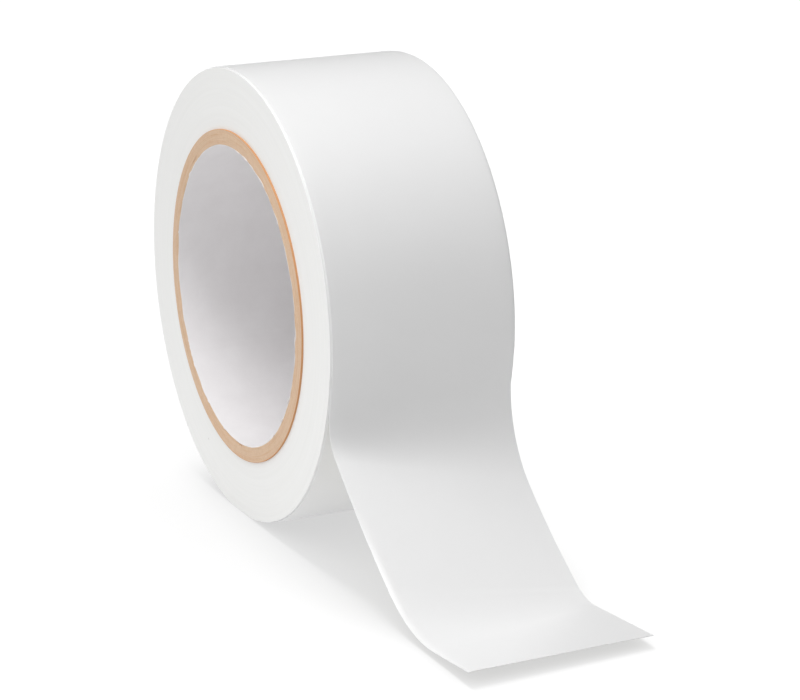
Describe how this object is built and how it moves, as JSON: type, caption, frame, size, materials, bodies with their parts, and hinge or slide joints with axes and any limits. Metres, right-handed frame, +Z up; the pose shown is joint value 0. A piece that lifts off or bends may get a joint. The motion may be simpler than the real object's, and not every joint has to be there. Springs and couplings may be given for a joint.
{
  "type": "vinyl safety tape roll",
  "caption": "Roll of plain white vinyl safety tape on a laminated paper core, standing on its edge, with a free tail that unwinds, lifts off the surface and folds near its cut end.",
  "frame": {"origin": "on the surface that the roll stands on, in the middle of the flat under the roll's axis", "axes": "+X the way the tail lies, +Y along the roll's axis away from the side that the picture shows, +Z up"},
  "size_m": [0.1856, 0.05, 0.1147],
  "materials": {
    "white_vinyl": "satin",
    "kraft_board": "matte",
    "liner_paper": "matte"
  },
  "bodies": {
    "roll": {"core_liner": "liner_paper", "core_ply_1": "kraft_board", "core_ply_2": "kraft_board", "core_ply_3": "kraft_board", "core_ply_4": "kraft_board", "core_ply_5": "kraft_board", "core_ply_6": "kraft_board", "core_ply_7": "kraft_board", "core_ply_8": "kraft_board", "wound_tape": "white_vinyl", "last_turn": "white_vinyl"},
    "curl": {"peel_curl": "white_vinyl"},
    "span": {"tail_span": "white_vinyl"},
    "end": {"tail_end": "white_vinyl"}
  },
  "joints": [
    {"name": "unwind", "type": "hinge", "parent": "roll", "child": "curl", "pos_m": [0, 0, 0.05707], "axis": [0, -1, 0], "continuous": true},
    {"name": "tail_lift", "type": "hinge", "parent": "curl", "child": "span", "pos_m": [0.06277, 0, 0.02556], "axis": [-0.1555, -0.9628, 0.2211], "range_deg": [0, 90]},
    {"name": "end_fold", "type": "hinge", "parent": "span", "child": "end", "pos_m": [0.09738, 0, 0.00158], "axis": [0.0849, -0.9951, 0.0499], "range_deg": [0, 60]}
  ]
}
